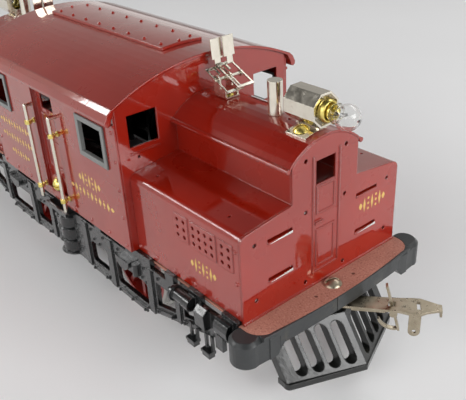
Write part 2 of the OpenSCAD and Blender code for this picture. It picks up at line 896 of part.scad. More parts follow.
// cast castings of one half of a side frame, from the middle to end A
module frame_half() {
    // plate with its castellated upper edge
    translate([0, -frame_y + frame_t, 0])
        rotate([90, 0, 0])
            linear_extrude(frame_t)
                difference() {
                    union() {
                        polygon([[0, 13], [13, 13], [36, 11.6], [48, 11], [66, 14.3], [88, 20.4], [104, 25],
                            [117, 29.6], [frame_x, 31.5], [frame_x, frame_top], [0, frame_top]]);
                        for (t = [[0, 9.5], [25.5, 30.7], [50, 68], [77.9, 83.2], [92.2, 99.8], [111.4, frame_x]])
                            translate([t[0], frame_top - 1])
                                square([t[1] - t[0], body_z - frame_top + 1 - gap]);
                    }
                    frame_window(19.9, 33.4, 17, 27.4);
                    frame_window(40.8, 63.6, 16, 26.6);
                    polygon([[70.6, 19.8], [82.8, 23.2], [82.8, 31], [70.6, 31]]);
                    polygon([[88.6, 24.8], [98.4, 27.4], [98.4, 31.4], [88.6, 31.4]]);
                }
    // upright ribs
    for (p = [[14.6, 18.2, 13.2], [35.2, 39, 12], [65.2, 68.6, 14.6], [84.2, 86.8, 20.2]])
        translate([p[0], -post_y, p[2]])
            cube([p[1] - p[0], post_y - frame_y + 0.1, frame_top - p[2] - 0.6]);
    // strips and rivets along the lower edge
    for (p = [[20.4, 33, 13], [41.5, 62.5, 12.2]])
        translate([p[0], -frame_y - 0.7, p[2]])
            cube([p[1] - p[0], 0.8, 1.8]);
    for (p = [[21.5, 13.9], [32, 13.9], [42.5, 13.1], [52, 13.1], [61.5, 13.1]])
        y_rivet(p[0], -frame_y - 0.6, p[1], 0.9, 1);
    translate([70.6, -frame_y, 16.6])
        rotate([0, -15.5, 0])
            translate([0, -0.7, 0])
                cube([12, 0.8, 1.7]);
    translate([88.8, -frame_y, 21.6])
        rotate([0, -15.5, 0])
            translate([0, -0.7, 0])
                cube([10, 0.8, 1.7]);
    for (p = [[71.6, 17.7], [81.6, 20.5], [89.8, 22.7], [97.6, 24.9]])
        y_rivet(p[0], -frame_y - 0.6, p[1], 0.9, 1);
    // rivets along the upper rail
    for (x = [21.5, 31.5, 43.5, 62.5, 72.5, 80.5, 102, 107, 117])
        y_rivet(x, -frame_y, 33.6, 0.8, 0.8);
    for (p = [[23.7, 29.6], [28, 28.8], [41.6, 30.8], [61, 28.6], [64, 27.6]])
        y_rivet(p[0], -frame_y, p[1], 0.7, 0.8);
    // spring saddle, a half disc with a boss beside it
    intersection() {
        translate([50.4, -frame_y + 0.1, 33.2])
            rotate([90, 0, 0])
                cylinder(r = 4.8, h = 2.6, $fn = round_fn);
        translate([40, -60, 25])
            cube([24, 40, 8.2]);
    }
    translate([57.4, -frame_y - 0.4, 28])
        cylinder(r = 1.6, h = 5.4, $fn = 32);
    // air cylinder lying along the rail, with a flange at its inner end
    translate([86.4, -frame_y - 1.5, 35.6])
        rotate([0, 90, 0])
            cylinder(r = 2.3, h = 7, $fn = round_fn);
    translate([92.6, -frame_y - 1.5, 35.6])
        rotate([0, 90, 0])
            cylinder(r = 2.7, h = 4, $fn = round_fn);
    translate([85.6, -frame_y - 1.5, 35.6])
        rotate([0, 90, 0])
            cylinder(r = 3.2, h = 1.2, $fn = round_fn);
    // journal box with a sloping lid
    translate([99.4, -frame_y + 0.1, 29])
        rotate([90, 0, 90])
            linear_extrude(5.4)
                polygon([[0, 0], [0, 8.8], [-1.4, 8.8], [-3.4, 6.8], [-3.1, 0.6], [-2.6, 0]]);
    // box with a rounded face and the leg below it
    translate([110.2, -frame_y + 0.1, 30.6])
        rotate([90, 0, 90])
            linear_extrude(7)
                polygon([[0, 0], [0, 7.8], [-1.3, 7.8], [-2.4, 7.1], [-3, 6], [-3.3, 4.6], [-3.2, 2.6],
                    [-2.6, 1], [-1.5, 0]]);
    translate([108, -frame_y - 1, 23])
        cube([4.2, 1.8, 7.4]);
    // feet of the brake gear on short stirrups under the rail
    for (x = [92.4, 101.4]) {
        translate([x, -frame_y - 0.9, 19.4])
            cube([1.2, 1, 6.2]);
        translate([x + 3.4, -frame_y - 0.9, 19.4])
            cube([1.2, 1, 6.6]);
        translate([x - 0.2, -frame_y - 2.9, 18.2])
            cube([5, 3.2, 1.2]);
        translate([x + 0.2, -frame_y - 2.6, 16.6])
            cube([4.2, 2.6, 1.7]);
    }
}

// cast side frame with the barrel and step under the cab door
module side_frame() {
    color("dimgray")
        difference() {
            union() {
                frame_half();
                mirror([1, 0, 0])
                    frame_half();
                translate([0, -drum_y, 13])
                    cylinder(r = drum_r - 1.2, h = frame_top - 13, $fn = 64);
                for (z = [13.4, 19.8, 26.2, 32.4])
                    translate([0, -drum_y, z]) {
                        cylinder(r1 = drum_r - 0.7, r2 = drum_r, h = 0.6, $fn = 64);
                        translate([0, 0, 0.6])
                            cylinder(r1 = drum_r, r2 = drum_r - 0.7, h = 0.8, $fn = 64);
                    }
                // step under the door
                translate([-9.5, -45.5, 36])
                    cube([19, 8, 1.4]);
                translate([-9.5, -45.5, 36])
                    cube([19, 1, 2]);
                // lug that takes the body screw
                translate([-5, -39.5, 34])
                    cube([10, 1.3, 18]);
            }
            translate([0, -39, body_z + 8])
                rotate([90, 0, 0])
                    cylinder(r = 1.5, h = 4, center = true, $fn = 24);
            translate([0, -drum_y, 5])
                cylinder(r = drum_r - 2.8, h = 26, $fn = 64);
        }
}

// ---- screws ----

// domed head with a slot, standing on z = 0, and a shank below it
module screw(r, h, shank_r, shank_l, slot_w = 0.7) {
    k = (r * r + h * h) / (2 * h);
    difference() {
        union() {
            intersection() {
                translate([0, 0, h - k])
                    sphere(r = k, $fn = 48);
                cylinder(r = r + 1, h = h + 1, $fn = 48);
            }
            translate([0, 0, -shank_l])
                cylinder(r = shank_r, h = shank_l + 0.1, $fn = 32);
        }
        translate([-r - 1, -slot_w / 2, h * 0.35])
            cube([2 * r + 2, slot_w, h]);
    }
}

// body screws at the doors, lamp foot screws and collector screws
module brass_screws() {
    color("goldenrod")
        both_ends() {
            translate([0, -cab_y + 0.05, body_z + 8])
                rotate([90, 0, 0])
                    screw(3.1, 2, 1.45, 6.4);
            at_lamp_screw()
                translate([0, 0, 0.8])
                    rotate([0, 0, 60])
                        screw(2.9, 1.5, 1.2, 3.2);
            translate([collector_screw_x, 0, body_z + tower_top + 0.8])
                rotate([0, 0, 30])
                    screw(1.9, 1, 1.2, 3.2);
        }
}

// screws that carry the couplers, each with a nut under the pilot bracket
module nickel_screws() {
    color("gainsboro")
        both_ends()
            translate([pivot_x, 0, deck_z + 0.02]) {
                rotate([0, 0, 65])
                    screw(3.5, 1.9, 1.6, 14.5, 0.9);
                translate([0, 0, pilot_top - 1.42 - deck_z - 2])
                    cylinder(r = 3.2, h = 1.96, $fn = 6);
            }
}

// ---- couplers ----

// stamped coupler arm, drawn along +X from its pivot at the origin
module coupler_arm() {
    difference() {
        union() {
            linear_extrude(arm_t)
                polygon(concat(
                    arc_points(0, 0, 4, 110, 250, 12),
                    [[4, -3.2], [24, -3.8], [27, -4.6], [31.5, -4.6], [33.5, -3.2],
                        [37.6, -1.8], [38.7, -1.5], [38.7, 1.5], [37.6, 1.7], [31.5, 4.3], [29, 4.4],
                        [24, 3.9], [4, 3.2]]));
            // turned-down tip
            translate([38, -1.5, -2.2])
                cube([0.8, 3, 2.6]);
            // turned-down edges of the root
            for (y = [-3.3, 2.6])
                translate([7, y, -0.7])
                    cube([12, 0.7, 1]);
            // ears for the latch pin
            for (y = [-3, 2.2])
                translate([21.9, y, -1.4])
                    rotate([-90, 0, 0])
                        cylinder(r = 1.4, h = 0.8, $fn = 32);
            for (y = [-3, 2.2])
                translate([20.5, y, -1.4])
                    cube([2.8, 0.8, 1.6]);
            // tab bent down from the shoulder, with a round end
            translate([27.2, -4.6, -7])
                cube([4.2, 0.8, 7.4]);
            translate([29.3, -3.8, -7])
                rotate([90, 0, 0])
                    cylinder(r = 2.1, h = 0.8, $fn = 32);
        }
        translate([0, 0, -1])
            cylinder(r = 1.65, h = 3, $fn = 32);
        translate([20.1, -1.4, -1])
            cube([2.6, 2.8, 3]);
        translate([30, -2.1, -1])
            cube([1.2, 4.2, 3]);
        translate([21.9, 0, -1.4])
            rotate([90, 0, 0])
                cylinder(r = 0.65, h = 8, center = true, $fn = 24);
        translate([29.3, -4, -7])
            rotate([90, 0, 0])
                cylinder(r = 0.75, h = 4, center = true, $fn = 24);
    }
}

// places the children on a coupler pivot, turned to the resting angle
module at_coupler() {
    translate([pivot_x, 0, arm_z])
        rotate([0, 0, coupler_rest])
            children();
}

module coupler() {
    color("gainsboro")
        at_coupler()
            coupler_arm();
}

// strip that stands in the coupler's slot and tips on a cross pin
module coupler_latch() {
    color("gainsboro")
        at_coupler()
            translate([21.9, 0, -1.4])
                rotate([0, -15, 0]) {
                    translate([-0.4, -1.2, -9])
                        cube([0.8, 2.4, 20]);
                    rotate([90, 0, 0])
                        cylinder(r = 0.6, h = 5.8, center = true, $fn = 24);
                    // curved tail
                    translate([-0.1, 0, -2.6])
                        rotate([90, 0, 0])
                            rotate([0, 0, 182])
                                rotate_extrude(angle = 86, $fn = 48)
                                    translate([5.6, -0.8])
                                        square([0.7, 1.6]);
                }
}

// ---- drive ----

// outline of a gear with n straight-flanked teeth of module 1, a tooth on +X
function gear_points(n) = [for (i = [0:n - 1], p = [[-0.8, -1.25], [-0.24, 0.95], [0.24, 0.95], [0.8, -1.25]])
    let (r = n / 2 + p[1], a = 360 * i / n + asin(p[0] / r))
    [r * cos(a), r * sin(a)]];

// a gear in the plane of the drive train, at x along the locomotive
module gear(x, n, turn, bore) {
    translate([x, -gear_y, axle_z])
        rotate([90, 0, 0])
            rotate([0, 0, turn])
                linear_extrude(gear_t, center = true)
                    difference() {
                        polygon(gear_points(n));
                        circle(r = bore, $fn = 32);
                    }
}

// axle with its driven gear and the collar that locks it
module axle() {
    color("silver") {
        y_rod(axle_x, axle_z, axle_r, 63);
        gear(axle_x, drive_n, 180 / drive_n, axle_r - 0.3);
    }
}

// spoked wheel of a pair, at the left of the axle
module wheel() {
    translate([axle_x, -back_to_back / 2, axle_z])
        rotate([90, 0, 0])
            difference() {
                union() {
                    difference() {
                        union() {
                            cylinder(r = tread_r + flange_h, h = 1.2, $fn = 96);
                            cylinder(r = tread_r, h = wheel_t, $fn = 96);
                        }
                        translate([0, 0, -1])
                            cylinder(r = tread_r - 3, h = wheel_t + 2, $fn = 96);
                    }
                    cylinder(r = 4.6, h = wheel_t, $fn = 48);
                    for (i = [0:spokes - 1])
                        rotate([0, 0, 360 * (i + 0.5) / spokes])
                            translate([3.5, -1.1, 1.2])
                                cube([tread_r - 6, 2.2, wheel_t - 2.2]);
                }
                translate([0, 0, -1])
                    cylinder(r = axle_r + 0.03, h = wheel_t + 2, $fn = 32);
            }
}

// both spoked wheels of one axle
module wheels() {
    color("firebrick")
        both_sides()
            wheel();
}

// two side plates, their pillars and the straps out to the side frames
module motor_frame() {
    color("silver")
        difference() {
            union() {
                both_sides()
                    translate([0, -motor_y, 0])
                        rotate([-90, 0, 0])
                            linear_extrude(1.2)
                                polygon([[-50, -16], [-46, -13], [-19, -9.5], [19, -9.5], [46, -13], [50, -16], [50, -28], [46, -31], [26, -36],
                                    [26, -38.2], [-26, -38.2], [-26, -36], [-46, -31], [-50, -28]]);
                for (x = [-24.6, 19])
                    translate([x, -38.4, 37.4])
                        cube([5.6, 76.8, 1.2]);
                for (p = [[-16, 31.5], [16, 31.5], [-16, 11.5], [16, 11.5]])
                    translate([p[0], 0, 0])
                        y_rod(0, p[1], 1.5, 2 * motor_y - 1);
            }
            for (x = [-axle_x, axle_x])
                y_rod(x, axle_z, axle_r + 0.05, 60);
            for (x = [-idler_x, idler_x])
                translate([0, -motor_y, 0])
                    y_rod(x, axle_z, pinion_r + 0.05, 6);
            y_rod(0, axle_z, pinion_r + 0.05, 60);
        }
}

// laminated field around the armature, its neck up into the coil
module motor_field() {
    color("dimgray")
        difference() {
            union() {
                translate([-18, -8, 9])
                    cube([36, 16, 25]);
                translate([-5, -8, 33])
                    cube([10, 16, 15]);
                translate([-13, -8, 47])
                    cube([26, 16, 3]);
            }
            y_rod(0, axle_z, 12, 20);
            for (x = [-16, 16])
                for (z = [11.5, 31.5])
                    y_rod(x, z, 1.53, 20);
        }
}

// coil wound round the neck of the field
module motor_coil() {
    color("sienna")
        difference() {
            translate([-12, -14, 34.1])
                cube([24, 28, 12.8]);
            translate([-5.05, -8.05, 30])
                cube([10.1, 16.1, 20]);
        }
}

// armature with its shaft, three-lobed core, commutator and pinion
module armature() {
    color("silver") {
        y_rod(0, axle_z, pinion_r, 38.2);
        translate([0, -21, 0])
            y_rod(0, axle_z, pinion_r, 5);
        translate([0, 0, axle_z])
            rotate([90, 0, 0])
                difference() {
                    cylinder(r = 11.5, h = 16, center = true, $fn = 64);
                    for (i = [0:2])
                        rotate([0, 0, 60 + 120 * i])
                            translate([7, -1.2, -10])
                                cube([8, 2.4, 20]);
                    for (i = [0:2])
                        rotate([0, 0, 60 + 120 * i])
                            translate([7, 0, 0])
                                cylinder(r = 2.6, h = 20, center = true, $fn = 32);
                }
        translate([0, 12, 0])
            y_rod(0, axle_z, 4.5, 6);
        gear(0, pinion_n, 0, pinion_r - 0.3);
    }
}

// intermediate gear on its stub shaft, s = 1 towards end A
module idler(s) {
    color("silver") {
        gear(s * idler_x, idler_n, s > 0 ? 180 / idler_n : 0, pinion_r - 0.3);
        translate([0, -20, 0])
            y_rod(s * idler_x, axle_z, pinion_r, 6.4);
        translate([0, -17.1, 0])
            y_rod(s * idler_x, axle_z, 2.6, 0.8);
    }
}

// fibre plate under the motor, with ears for the pickup shoes
module pickup_plate() {
    color("maroon")
        difference() {
            union() {
                translate([-15, -motor_y + 0.3, 6.6])
                    cube([30, 2 * motor_y - 0.6, 1.6]);
                for (x = [-14, 12])
                    translate([x, -16, 8.1])
                        cube([2, 32, 0.8]);
                for (x = [-12.6, 9.4])
                    for (y = [-6.6, 5])
                        translate([x, y, 3.6])
                            cube([3.2, 1.6, 3.2]);
            }
            for (x = [-11, 11])
                y_rod(x, 4.9, 0.75, 20);
        }
}

// sprung pickup shoe, its pin in the ears of the plate
module pickup_shoe() {
    color("silver") {
        y_rod(11, 4.9, 0.7, 14);
        y_rod(11, 4.9, 1.3, 8);
        translate([11, -3.6, 4.5])
            cube([9, 7.2, 0.8]);
        translate([19.6, -3.6, 4.9])
            rotate([0, 35, 0])
                translate([0, 0, -0.4])
                    cube([5.4, 7.2, 0.8]);
        translate([23.4, -3.6, rail_z])
            cube([9, 7.2, 0.8]);
        translate([32.2, -3.6, rail_z + 0.4])
            rotate([0, -35, 0])
                translate([0, 0, -0.4])
                    cube([3, 7.2, 0.8]);
    }
}

cab_side();  // cab_side_l
turned() cab_side();  // cab_side_r
cab_end();  // cab_end_a
turned() cab_end();  // cab_end_b
roof();
roof_hatch();
hood();  // hood_a
turned() hood();  // hood_b
hood_cover();  // hood_cover_a
turned() hood_cover();  // hood_cover_b
front();  // front_a
turned() front();  // front_b
cab_door();  // cab_door_l
turned() cab_door();  // cab_door_r
window_frames();  // window_frames_l
turned() window_frames();  // window_frames_r
handrails();  // handrails_l
turned() handrails();  // handrails_r
rail_stanchions();
headlight();  // headlight_a
turned() headlight();  // headlight_b
lamp_socket();  // lamp_socket_a
turned() lamp_socket();  // lamp_socket_b
bulb();  // bulb_a
turned() bulb();  // bulb_b
whistle();  // whistle_a
turned() whistle();  // whistle_b
collector_base();  // collector_base_a
turned() collector_base();  // collector_base_b
collector_arm_1();  // collector_arm_a1
collector_arm_2();  // collector_arm_a2
turned() collector_arm_1();  // collector_arm_b1
turned() collector_arm_2();  // collector_arm_b2
platform();  // platform_a
turned() platform();  // platform_b
bumper();  // bumper_a
turned() bumper();  // bumper_b
pilot();  // pilot_a
turned() pilot();  // pilot_b
coupler();  // coupler_a
turned() coupler();  // coupler_b
coupler_latch();  // coupler_latch_a
turned() coupler_latch();  // coupler_latch_b
side_frame();  // frame_l
turned() side_frame();  // frame_r
brass_screws();
nickel_screws();
axle();  // axle_a
turned() axle();  // axle_b
wheels();  // wheels_a
turned() wheels();  // wheels_b
motor_frame();
motor_field();
motor_coil();
armature();
idler(1);  // idler_a
idler(-1);  // idler_b
pickup_plate();
pickup_shoe();  // pickup_shoe_a
turned() pickup_shoe();  // pickup_shoe_b
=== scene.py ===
import json
import math
import bpy
import bmesh
from mathutils import Matrix, Vector


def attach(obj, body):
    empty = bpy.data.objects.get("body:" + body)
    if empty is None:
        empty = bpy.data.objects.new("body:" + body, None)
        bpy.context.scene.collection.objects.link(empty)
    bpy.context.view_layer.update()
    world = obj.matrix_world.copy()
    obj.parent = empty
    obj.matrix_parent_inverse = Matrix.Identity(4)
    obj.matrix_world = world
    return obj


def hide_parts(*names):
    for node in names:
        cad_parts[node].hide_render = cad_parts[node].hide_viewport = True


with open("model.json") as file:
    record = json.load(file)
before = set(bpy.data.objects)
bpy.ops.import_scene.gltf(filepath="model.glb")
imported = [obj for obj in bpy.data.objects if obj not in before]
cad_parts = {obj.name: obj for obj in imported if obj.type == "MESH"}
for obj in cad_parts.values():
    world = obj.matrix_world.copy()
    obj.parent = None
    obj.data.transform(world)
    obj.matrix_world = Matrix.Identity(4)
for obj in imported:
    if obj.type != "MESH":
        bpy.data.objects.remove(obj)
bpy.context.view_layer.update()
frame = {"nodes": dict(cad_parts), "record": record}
record = frame["record"]
nodes = frame["nodes"]
MM = 0.001
BODY = "locomotive"
ENDS = "ab"
AXLE_X = 0.043
AXLE_Z = 0.0215
TREAD_R = 0.0186
HUB_R = 0.0022


# ---------- materials ----------

class Paint:
    """A node material built step by step."""

    def __init__(self, name):
        self.mat = bpy.data.materials.new(name)
        self.mat.use_nodes = True
        self.tree = self.mat.node_tree
        self.bsdf = self.tree.nodes["Principled BSDF"]
        self.coord = self.node("ShaderNodeTexCoord").outputs["Object"]
        self.height = None

    def node(self, kind, **values):
        made = self.tree.nodes.new(kind)
        for key, value in values.items():
            setattr(made, key, value)
        return made

    def link(self, a, b):
        self.tree.links.new(a, b)

    def set(self, **values):
        for key, value in values.items():
            self.bsdf.inputs[key.replace("_", " ")].default_value = value
        return self

    def noise(self, scale, detail=4.0, rough=0.55, stretch=(1, 1, 1)):
        mapping = self.node("ShaderNodeMapping")
        mapping.inputs["Scale"].default_value = stretch
        self.link(self.coord, mapping.inputs["Vector"])
        made = self.node("ShaderNodeTexNoise")
        made.inputs["Scale"].default_value = scale
        made.inputs["Detail"].default_value = detail
        made.inputs["Roughness"].default_value = rough
        self.link(mapping.outputs["Vector"], made.inputs["Vector"])
        return made.outputs["Fac"]

    def ramp(self, source, low, high, a=0.0, b=1.0):
        made = self.node("ShaderNodeMapRange")
        made.inputs["From Min"].default_value = low
        made.inputs["From Max"].default_value = high
        made.inputs["To Min"].default_value = a
        made.inputs["To Max"].default_value = b
        self.link(source, made.inputs["Value"])
        return made.outputs["Result"]

    def math(self, kind, a, b=None):
        made = self.node("ShaderNodeMath", operation=kind)
        for i, value in enumerate((a, b)):
            if value is None:
                continue
            if isinstance(value, (int, float)):
                made.inputs[i].default_value = value
            else:
                self.link(value, made.inputs[i])
        return made.outputs[0]

    def mix(self, factor, a, b):
        made = self.node("ShaderNodeMix", data_type="RGBA")
        self.link(factor, made.inputs[0])
        for i, value in ((6, a), (7, b)):
            if isinstance(value, tuple):
                made.inputs[i].default_value = (*value, 1)
            else:
                self.link(value, made.inputs[i])
        return made.outputs[2]

    def colour(self, source):
        self.link(source, self.bsdf.inputs["Base Color"])
        return self

    def rough(self, source):
        self.link(source, self.bsdf.inputs["Roughness"])
        return self

    def bump(self, source, strength, distance, to_coat=False):
        made = self.node("ShaderNodeBump")
        made.inputs["Strength"].default_value = strength
        made.inputs["Distance"].default_value = distance
        self.link(source, made.inputs["Height"])
        if self.height is not None:
            self.link(self.height, made.inputs["Normal"])
        self.height = made.outputs["Normal"]
        self.link(self.height, self.bsdf.inputs["Normal"])
        if to_coat:
            self.link(self.height, self.bsdf.inputs["Coat Normal"])
        return self

    def rounded(self, radius):
        """Catches light along edges, as a small radius would."""
        made = self.node("ShaderNodeBevel", samples=4)
        made.inputs["Radius"].default_value = radius
        self.height = made.outputs["Normal"]
        self.link(self.height, self.bsdf.inputs["Normal"])
        self.link(self.height, self.bsdf.inputs["Coat Normal"])
        return self


def enamel(name, deep, bright):
    """Glossy paint under a slightly hazy clear coat."""
    p = Paint(name)
    p.rounded(0.0006)
    p.set(IOR=1.5, Specular_IOR_Level=0.2, Coat_Weight=1.0, Coat_IOR=1.8, Coat_Tint=(1.0, 0.9, 0.8, 1))
    broad = p.noise(18, 3)
    fine = p.noise(900, 5, 0.7)
    base = p.mix(p.ramp(broad, 0.35, 0.7), deep, bright)
    dust = p.ramp(fine, 0.66, 0.8, 0, 0.12)
    p.colour(p.mix(dust, base, (0.45, 0.25, 0.2)))
    p.rough(p.ramp(p.noise(60, 6), 0.3, 0.7, 0.22, 0.4))
    p.bump(p.noise(650, 2), 0.06, 0.0002, True)
    p.bump(p.noise(70, 2), 0.05, 0.0008, True)
    haze = p.ramp(p.noise(120, 8, 0.7), 0.35, 0.75, 0.015, 0.09)
    p.link(haze, p.bsdf.inputs["Coat Roughness"])
    return p.mat


def metal(name, tint, dark, rough=0.2, brushed=(1, 1, 1), tarnish=0.35):
    """Bare or plated metal with darker tarnish spots."""
    p = Paint(name)
    p.rounded(0.0002)
    p.set(Metallic=1.0)
    spots = p.ramp(p.noise(160, 6, 0.65), 0.42, 0.75, 0, tarnish)
    p.colour(p.mix(spots, tint, dark))
    p.rough(p.ramp(p.noise(420, 5, 0.6, brushed), 0.3, 0.75, rough * 0.6, rough * 1.9))
    p.bump(p.noise(1500, 3, 0.6, brushed), 0.02, 0.0001)
    return p.mat


def casting(name, tint, chip, coat, rough, chips=0.5):
    """Painted or bare cast surface, worn to a second colour in places."""
    p = Paint(name)
    p.rounded(0.0005)
    p.set(Coat_Weight=coat, Coat_Roughness=0.07, Coat_IOR=1.5, Specular_IOR_Level=0.3)
    worn = p.ramp(p.noise(130, 8, 0.7), 0.60, 0.72, 0, chips)
    p.colour(p.mix(worn, tint, chip))
    p.rough(p.ramp(p.noise(90, 5), 0.3, 0.7, rough * 0.7, rough * 1.5))
    p.bump(p.noise(420, 5, 0.6), 0.22, 0.0004, True)
    p.bump(p.noise(90, 2), 0.15, 0.0010, True)
    return p.mat


RED = enamel("red_enamel_look", (0.22, 0.007, 0.0015), (0.29, 0.010, 0.002))
GREY = casting("window_frame_look", (0.16, 0.165, 0.16), (0.3, 0.3, 0.28), 0.4, 0.35, 0.25)
NICKEL = metal("nickel_look", (0.78, 0.73, 0.63), (0.5, 0.45, 0.35), 0.16, tarnish=0.2)
BRASS = metal("brass_look", (0.8, 0.66, 0.2), (0.45, 0.35, 0.09), 0.24, tarnish=0.35)
BLACK = casting("black_casting_look", (0.006, 0.0065, 0.007), (0.05, 0.045, 0.035), 1.0, 0.25, 0.25)
PILOT = casting("pilot_look", (0.009, 0.0095, 0.009), (0.05, 0.045, 0.033), 0.55, 0.35, 0.35)
STEEL = metal("steel_look", (0.42, 0.42, 0.42), (0.16, 0.15, 0.14), 0.3, (1, 6, 1))
IRON = casting("iron_look", (0.07, 0.07, 0.075), (0.16, 0.12, 0.09), 0.0, 0.6, 0.5)
COIL = casting("coil_look", (0.12, 0.05, 0.018), (0.2, 0.1, 0.05), 0.3, 0.6, 0.4)
FIBRE = casting("fibre_look", (0.16, 0.025, 0.018), (0.24, 0.07, 0.05), 0.1, 0.6, 0.4)
# bright tin-coloured metal, used only for the painted light in the lamp slots
SLOT_LIGHT_LOOK = metal("tin_edge_look", (0.93, 0.91, 0.88), (0.7, 0.66, 0.6), 0.3)
DULL = metal("dull_nickel_look", (0.47, 0.41, 0.31), (0.22, 0.18, 0.12), 0.3, tarnish=0.7)
GOLD = metal("gold_ornament_look", (0.75, 0.52, 0.16), (0.5, 0.3, 0.08), 0.4, tarnish=0.6)
GOLD.node_tree.nodes["Principled BSDF"].inputs["Metallic"].default_value = 0.35


def beam_paint():
    p = Paint("beam_grey_look")
    p.rounded(0.0006)
    p.set(Coat_Weight=0.35, Coat_Roughness=0.2, Coat_IOR=1.5, Specular_IOR_Level=0.3)
    worn = p.ramp(p.noise(85, 9, 0.75), 0.56, 0.66, 0, 0.7)
    tone = p.mix(worn, (0.026, 0.028, 0.029), (0.06, 0.055, 0.045))
    specks = p.ramp(p.noise(420, 3, 0.6), 0.68, 0.74, 0, 0.6)
    p.colour(p.mix(specks, tone, (0.010, 0.010, 0.010)))
    p.rough(p.ramp(p.noise(150, 6), 0.3, 0.7, 0.3, 0.6))
    p.bump(p.noise(260, 6, 0.65), 0.2, 0.0005, True)
    return p.mat


def deck_paint():
    p = Paint("deck_red_look")
    p.rounded(0.0003)
    p.set(Specular_IOR_Level=0.35)
    grain = p.noise(1400, 3, 0.7)
    tone = p.mix(p.ramp(p.noise(60, 6), 0.3, 0.7), (0.34, 0.14, 0.10), (0.44, 0.19, 0.14))
    pits = p.ramp(grain, 0.56, 0.66, 0, 0.8)
    light = p.ramp(grain, 0.44, 0.3, 0, 0.5)
    p.colour(p.mix(light, p.mix(pits, tone, (0.16, 0.055, 0.04)), (0.58, 0.34, 0.27)))
    p.rough(p.ramp(grain, 0.3, 0.7, 0.5, 0.85))
    p.bump(grain, 0.5, 0.0003)
    return p.mat


def wheel_paint(cx):
    """Red spokes and centre, bright steel tread and flange."""
    p = Paint("wheel_look_" + ("a" if cx > 0 else "b"))
    p.rounded(0.0004)
    split = p.node("ShaderNodeSeparateXYZ")
    p.link(p.coord, split.inputs[0])
    dx = p.math("SUBTRACT", split.outputs[0], cx)
    dz = p.math("SUBTRACT", split.outputs[2], AXLE_Z)
    radius = p.math("SQRT", p.math("ADD", p.math("MULTIPLY", dx, dx), p.math("MULTIPLY", dz, dz)))
    tread = p.math("GREATER_THAN", radius, TREAD_R)
    hub = p.math("LESS_THAN", radius, HUB_R)
    bare = p.math("MAXIMUM", tread, hub)
    red = p.mix(p.ramp(p.noise(90, 5), 0.4, 0.7), (0.24, 0.012, 0.008), (0.30, 0.02, 0.012))
    p.colour(p.mix(bare, red, (0.5, 0.49, 0.46)))
    p.link(bare, p.bsdf.inputs["Metallic"])
    p.rough(p.ramp(p.noise(300, 5), 0.3, 0.7, 0.2, 0.42))
    p.set(Coat_Weight=0.4, Coat_Roughness=0.1)
    p.bump(p.noise(400, 3), 0.08, 0.0003, True)
    return p.mat


def clear_glass():
    p = Paint("bulb_glass_look")
    p.set(Transmission_Weight=1.0, IOR=1.33, Base_Color=(0.98, 0.98, 0.97, 1))
    p.rough(p.ramp(p.noise(200, 4), 0.3, 0.8, 0.01, 0.1))
    return p.mat


BEAM = beam_paint()
DECK = deck_paint()
GLASS = clear_glass()
LOOKS = {"red_enamel": RED, "frame_grey": GREY, "nickel": NICKEL, "brass": BRASS, "clear_glass": GLASS,
         "deck_red": DECK, "beam_grey": BEAM, "black_casting": BLACK, "bright_steel": STEEL,
         "dark_steel": IRON, "coil_wrap": COIL, "fibre": FIBRE}

for part in record["subparts"]:
    thing = nodes[part["node"]]
    if part["material_slot"] == "wheel_red":
        look = wheel_paint(AXLE_X if part["node"].endswith("a") else -AXLE_X)
    elif part["node"].startswith(("coupler", "nickel_screws")):
        look = DULL
    elif part["node"].startswith("pilot"):
        look = PILOT
    else:
        look = LOOKS[part["material_slot"]]
    for i in range(max(1, len(thing.data.materials))):
        if i < len(thing.data.materials):
            thing.data.materials[i] = look
        else:
            thing.data.materials.append(look)


# ---------- pieces ----------

def piece(name, mesh_data, look, smooth=True):
    """Adds a mesh that rides on the fixed body."""
    made = bpy.data.objects.new(name, mesh_data)
    bpy.context.scene.collection.objects.link(made)
    mesh_data.materials.append(look)
    if smooth:
        for poly in mesh_data.polygons:
            poly.use_smooth = True
    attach(made, BODY)
    return made


def turn(matrix, end):
    """The same place on end b, which is end a turned half a turn about Z."""
    return matrix if end == "a" else Matrix.Rotation(math.pi, 4, "Z") @ matrix


def lathe(name, profile, steps, matrix):
    """A mesh turned about local X from (x, r) points in millimetres."""
    bm = bmesh.new()
    rings = []
    for x, r in profile:
        angles = [2 * math.pi * k / steps for k in range(steps)]
        rings.append([bm.verts.new((x * MM, r * MM * math.cos(a), r * MM * math.sin(a))) for a in angles])
    for a, b in zip(rings, rings[1:]):
        for k in range(steps):
            bm.faces.new((a[k], a[(k + 1) % steps], b[(k + 1) % steps], b[k]))
    bmesh.ops.remove_doubles(bm, verts=bm.verts, dist=1e-7)
    bmesh.ops.recalc_face_normals(bm, faces=bm.faces)
    bm.transform(matrix)
    data = bpy.data.meshes.new(name)
    bm.to_mesh(data)
    bm.free()
    return data


def flat_shapes(name, shapes, matrix, thick=0.03):
    """Thin raised shapes in local XY from lists of points in millimetres."""
    bm = bmesh.new()
    for points in shapes:
        low = [bm.verts.new((x * MM, y * MM, 0)) for x, y in points]
        high = [bm.verts.new((x * MM, y * MM, thick * MM)) for x, y in points]
        bm.faces.new(high)
        for i in range(len(points)):
            j = (i + 1) % len(points)
            bm.faces.new((low[i], low[j], high[j], high[i]))
    bmesh.ops.recalc_face_normals(bm, faces=bm.faces)
    bm.transform(matrix)
    data = bpy.data.meshes.new(name)
    bm.to_mesh(data)
    bm.free()
    return data


def lozenge(cx, cy, w, h):
    return [(cx - w / 2, cy), (cx, cy - h / 2), (cx + w / 2, cy), (cx, cy + h / 2)]


def dot(cx, cy, r, n=14):
    angles = [2 * math.pi * i / n for i in range(n)]
    return [(cx + r * math.cos(a), cy + r * math.sin(a)) for a in angles]


